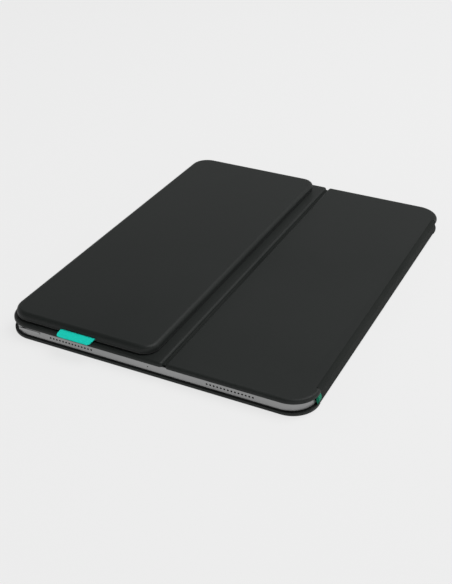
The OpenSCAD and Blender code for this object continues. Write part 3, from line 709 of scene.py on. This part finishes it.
def cornerTag():
    # lens-shaped end of a ribbon, between the corners of the covers
    wide, high = tagHigh.x - tagLow.x, tagHigh.z - tagLow.z
    middle = (tagLow + tagHigh) / 2
    arc = (wide * wide + high * high) / (4 * wide)
    lenses = []
    for side in (1, -1):
        deselectAll()
        bpy.ops.mesh.primitive_cylinder_add(
            vertices=tagShape["points"], radius=arc, depth=tagHigh.y - tagLow.y,
            rotation=(math.pi / 2, 0, 0),
            location=(middle.x + side * (arc - wide / 2), middle.y, middle.z))
        lens = bpy.context.object
        bpy.ops.object.transform_apply(location=True, rotation=True, scale=True)
        lenses.append(lens)
    tag = lenses[0]
    tag.name = tag.data.name = "cornerTag"
    cutAway(tag, lenses[1], operation="INTERSECT")
    applyModifier(tag, "BEVEL", width=tagShape["rim"], segments=tagShape["rimSteps"],
                  limit_method="ANGLE", angle_limit=math.radians(tagShape["rimAngle"]))
    smoothFinish(tag, tagShape["smoothAngle"])
    settle(tag, finishes["tag"], "spine", ["corner_tag"])


cornerTag()

ribbon = dict(droop=0.9 * mm, droopPower=1.7, corner=2.2 * mm, cornerSteps=8, taper=0.5 * mm,
              rows=28, columns=24, edge=0.22 * mm, edgeSteps=3, edgeAngle=60, smoothAngle=45,
              thickness=0.62 * mm, below=0.04 * mm)


def pullTab():
    # flat woven ribbon that leaves the keyboard's slot and droops a little
    low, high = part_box("pull_tab")
    middle = (low + high) / 2
    deselectAll()
    bpy.ops.mesh.primitive_plane_add(
        size=1, location=(middle.x, middle.y, high.z - ribbon["below"]))
    tab = bpy.context.object
    tab.name = tab.data.name = "pullTab"
    tab.scale = (high.x - low.x, high.y - low.y, 1)
    bpy.ops.object.transform_apply(location=True, rotation=False, scale=True)
    editMode(tab, "VERT")
    shape = bmesh.from_edit_mesh(tab.data)
    for vertex in shape.verts:
        vertex.select_set(near(vertex.co.y, low.y))
    bmesh.update_edit_mesh(tab.data)
    bpy.ops.mesh.bevel(offset=ribbon["corner"], segments=ribbon["cornerSteps"],
                       affect="VERTICES", profile=0.5)
    for normal, count in (((0, 1, 0), ribbon["rows"]), ((1, 0, 0), ribbon["columns"])):
        for step in range(1, count):
            bpy.ops.mesh.select_all(action="SELECT")
            bpy.ops.mesh.bisect(plane_co=low + (high - low) * step / count, plane_no=normal)
    objectMode()
    # out runs from 0 where the ribbon leaves the keyboard to 1 at its end
    for vertex in tab.data.vertices:
        out = max(0.0, (keyboardLow.y - vertex.co.y) / (keyboardLow.y - low.y))
        vertex.co.z -= ribbon["droop"] * out ** ribbon["droopPower"]
        side = (vertex.co.x - middle.x) / (high.x - middle.x)
        vertex.co.x -= side * ribbon["taper"] * out
    applyModifier(tab, "SOLIDIFY", thickness=ribbon["thickness"], offset=-1.0)
    applyModifier(tab, "BEVEL", width=ribbon["edge"], segments=ribbon["edgeSteps"],
                  limit_method="ANGLE", angle_limit=math.radians(ribbon["edgeAngle"]))
    smoothFinish(tab, ribbon["smoothAngle"])
    settle(tab, finishes["tab"], "keyboard", ["pull_tab"])


keyboardLow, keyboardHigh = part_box("keyboard_base_shell")
pullTab()
print("ribbons made")


keyboard = dict(openRadius=14 * mm, creaseRadius=10.5 * mm, topRim=3.2 * mm, seam=0.12 * mm,
                cornerSteps=24, insideSteps=16, wall=1.2 * mm, floor=0.75 * mm, slotPlay=0.2 * mm,
                tabBelow=0.05 * mm, tabAbove=0.1 * mm, portPlay=0.1 * mm, portSteps=10,
                knobWall=1.6 * mm, knobPlay=0.1 * mm, lightPlay=0.05 * mm, lightPoints=32,
                lightDepth=8 * mm, reach=5 * mm, slotReach=2 * mm)
# a bevel a touch under half the height keeps a port's ends from closing to an edge
nearlyRound = 0.999


def ovalHole(name, low, high, play, depth):
    # oval bar along Y, to cut a port's mouth
    block = addBlock(name, (low.x - play, low.y, low.z - play),
                     (high.x + play, high.y + depth, high.z + play))
    radius = (high.z - low.z) / 2 + play
    editMode(block)
    pickEdges(block, lambda a, b: near(a.x, b.x) and near(a.z, b.z) and not near(a.y, b.y))
    bpy.ops.mesh.bevel(offset=radius * nearlyRound, segments=keyboard["portSteps"],
                       profile=0.5, affect="EDGES", clamp_overlap=False)
    objectMode()
    return block


def keyboardShell():
    low, high = keyboardLow, keyboardHigh
    radii = [keyboard["openRadius"], keyboard["creaseRadius"],
             keyboard["creaseRadius"], keyboard["openRadius"]]
    shell = roundedBlock("keyboardShell", low, high, radii, topRim=keyboard["topRim"],
                         lowRim=keyboard["seam"], steps=keyboard["cornerSteps"])
    wall, slot, past = keyboard["wall"], keyboard["slotPlay"], keyboard["slotReach"]
    inside = roundedBlock("inside", (low.x + wall, low.y + wall, low.z - keyboard["reach"]),
                          (high.x - wall, high.y - wall, high.z - keyboard["floor"]),
                          [r - wall for r in radii], topRim=keyboard["topRim"] - wall,
                          steps=keyboard["insideSteps"])
    tabLow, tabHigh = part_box("pull_tab")
    tabSlot = addBlock("tabSlot", (tabLow.x - slot, low.y - past, tabLow.z - keyboard["tabBelow"]),
                       (tabHigh.x + slot, low.y + 2 * wall, tabHigh.z + keyboard["tabAbove"]))
    portLow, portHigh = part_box("charging_port")
    port = ovalHole("portMouth", portLow, portHigh, keyboard["portPlay"], keyboard["reach"])
    # the knob's slot is as much longer than the knob as the switch slides
    knobLow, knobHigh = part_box("power_switch")
    slide = [j for j in frame["joints"] if j["name"] == "switch_slide"][0]["range_m"][1]
    side = keyboard["knobWall"] - slot
    knobSlot = addBlock(
        "knobSlot", (knobLow.x + side, high.y - 2 * wall, knobLow.z + keyboard["knobPlay"]),
        (knobHigh.x - side + slide, high.y + 2 * wall, knobHigh.z - keyboard["knobPlay"]))
    lightLow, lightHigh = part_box("status_light")
    lightMiddle = (lightLow + lightHigh) / 2
    deselectAll()
    bpy.ops.mesh.primitive_cylinder_add(
        vertices=keyboard["lightPoints"],
        radius=(lightHigh.x - lightLow.x) / 2 + keyboard["lightPlay"],
        depth=keyboard["lightDepth"], rotation=(math.pi / 2, 0, 0),
        location=(lightMiddle.x, high.y, lightMiddle.z))
    lightHole = bpy.context.object
    bpy.ops.object.transform_apply(location=True, rotation=True, scale=True)
    cutAway(shell, inside, tabSlot, port, knobSlot, lightHole)
    smoothFinish(shell)
    settle(shell, finishes["shell"], "keyboard", ["keyboard_base_shell"])


keyboardShell()

merged = dict(flatAngle=0.5, smoothAngle=30)


def smoothCopy(nodeName, name, finish):
    # a CAD node's own shape, with its triangles merged and its curves shaded smooth
    deselectAll()
    copy = nodes[nodeName].copy()
    copy.data = nodes[nodeName].data.copy()
    for key in list(copy.keys()):
        del copy[key]
    copy.parent = None
    copy.name = copy.data.name = name
    bpy.context.scene.collection.objects.link(copy)
    editMode(copy, "VERT")
    bpy.ops.mesh.select_all(action="SELECT")
    bpy.ops.mesh.remove_doubles(threshold=mergeDistance)
    bpy.ops.mesh.dissolve_limited(angle_limit=math.radians(merged["flatAngle"]))
    objectMode()
    copy.data.materials.clear()
    bpy.ops.object.shade_smooth_by_angle(angle=math.radians(merged["smoothAngle"]))
    applyModifier(copy, "WEIGHTED_NORMAL", keep_sharp=True)
    body = nodes[nodeName]["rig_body"]
    return settle(copy, finishes[finish], body, [nodeName])


tabletHousing = smoothCopy("tablet_housing", "tabletHousing", "housing")

# the corner at the top button takes the even shading of a plain block
plainShape = dict(corner=17.0 * mm, frontRim=0.35 * mm, backRim=0.6 * mm, smoothAngle=50,
                  past=1 * mm, reach=0.03 * mm)
plainBlock = roundedBlock("plainBlock", tabletLow, tabletHigh, [plainShape["corner"]] * 4,
                          topRim=plainShape["frontRim"], lowRim=plainShape["backRim"])
smoothFinish(plainBlock, plainShape["smoothAngle"])
buttonCorner = tabletHousing.vertex_groups.new(name="buttonCorner")
cornerX = tabletLow.x + plainShape["corner"] + plainShape["past"]
cornerY = tabletLow.y + plainShape["corner"]
buttonCorner.add([vertex.index for vertex in tabletHousing.data.vertices
                  if vertex.co.x < cornerX and vertex.co.y < cornerY], 1.0, "REPLACE")
applyModifier(tabletHousing, "DATA_TRANSFER", object=plainBlock, use_loop_data=True,
              data_types_loops={"CUSTOM_NORMAL"}, loop_mapping="POLYINTERP_NEAREST",
              use_max_distance=True, max_distance=plainShape["reach"],
              vertex_group=buttonCorner.name)
tabletHousing.vertex_groups.clear()
bpy.data.objects.remove(plainBlock)

smoothCopy("keyboard_deck", "keyboardDeck", "deck")
for row in ("low_row_keys", "number_row_keys", "upper_row_keys", "home_row_keys",
            "lower_row_keys", "bottom_row_keys", "space_bar"):
    smoothCopy(row, row.replace("_", "-") + "-caps", "keyCap")
for button in ("top_button", "volume_up_button", "volume_down_button"):
    smoothCopy(button, button.replace("_", "-") + "-cap", "housing")
print("keyboard and tablet shapes made")


studio = dict(pale=(0.862, 0.862, 0.862), floorSize=14.0, floorDrop=0.1 * mm, flatShare=0.87,
              sky=[(0.0, 1.0), (0.3, 0.66), (0.5, 0.36), (0.68, 0.12), (1.0, 0.05)],
              keyPower=28.0, keySize=1.5, keyPlace=(0.62, 0.5, 1.6),
              sidePower=2.0, sideSize=0.9, sidePlace=(0.9, -1.2, 0.5))


def paleFloor():
    # lit by the lamps, and partly flat so that it stays one pale tone
    deselectAll()
    bpy.ops.mesh.primitive_plane_add(size=studio["floorSize"],
                                     location=(0, 0, -studio["floorDrop"]))
    floor = bpy.context.object
    floor.name = "paleFloor"
    material = bpy.data.materials.new("paleFloor")
    material.use_nodes = True
    tree = material.node_tree
    tree.nodes.remove(tree.nodes["Principled BSDF"])
    lit = addNode(tree, "ShaderNodeBsdfDiffuse", {"Color": (*studio["pale"], 1)})
    flat = addNode(tree, "ShaderNodeEmission", {"Color": (*studio["pale"], 1), "Strength": 1.0})
    path = addNode(tree, "ShaderNodeLightPath")
    mirrored = sums(tree, "MAXIMUM", path.outputs["Is Glossy Ray"],
                    path.outputs["Is Transmission Ray"])
    seen = sums(tree, "MAXIMUM", path.outputs["Is Camera Ray"], mirrored)
    share = sums(tree, "MULTIPLY", seen, studio["flatShare"])
    upper = addNode(tree, "ShaderNodeMixShader", {0: share, 1: lit.outputs[0], 2: flat.outputs[0]})
    # clear from underneath, so that the foot of the case can be seen
    facing = addNode(tree, "ShaderNodeNewGeometry").outputs["Backfacing"]
    clear = addNode(tree, "ShaderNodeBsdfTransparent")
    oneWay = addNode(tree, "ShaderNodeMixShader",
                     {0: facing, 1: upper.outputs[0], 2: clear.outputs[0]})
    tree.links.new(oneWay.outputs[0], tree.nodes["Material Output"].inputs["Surface"])
    floor.data.materials.append(material)


def paleSky():
    world = bpy.data.worlds.new("paleSky")
    bpy.context.scene.world = world
    world.use_nodes = True
    tree = world.node_tree
    backdrop = tree.nodes["Background"]
    direction = addNode(tree, "ShaderNodeTexCoord").outputs["Generated"]
    rise = addNode(tree, "ShaderNodeSeparateXYZ", {"Vector": direction}).outputs["Z"]
    # pale along the horizon, dim overhead
    strength = ramp(tree, rise, [(at, (level, level, level)) for at, level in studio["sky"]])
    backdrop.inputs["Color"].default_value = (*studio["pale"], 1)
    tree.links.new(strength, backdrop.inputs["Strength"])


def softLamp(name, place, size, power):
    # round area lamp that faces the case
    deselectAll()
    bpy.ops.object.light_add(type="AREA", location=place)
    lamp = bpy.context.object
    lamp.name = name
    lamp.data.shape = "DISK"
    lamp.data.size = size
    lamp.data.energy = power
    lamp.rotation_euler = (-Vector(place)).to_track_quat("-Z", "Y").to_euler()


paleFloor()
paleSky()
softLamp("keyLamp", studio["keyPlace"], studio["keySize"], studio["keyPower"])
softLamp("sideLamp", studio["sidePlace"], studio["sideSize"], studio["sidePower"])

shot = dict(place=(0.27206, -0.58372, 0.37713), tilt=58.599, turn=26.079, lens=62.37, sensor=36,
            nearest=0.01)
bpy.ops.object.camera_add(location=shot["place"],
                          rotation=(math.radians(shot["tilt"]), 0, math.radians(shot["turn"])))
camera = bpy.context.object
camera.data.lens = shot["lens"]
camera.data.sensor_width = shot["sensor"]
camera.data.clip_start = shot["nearest"]
bpy.context.scene.camera = camera
bpy.context.scene.view_settings.view_transform = "Standard"
print("studio set")
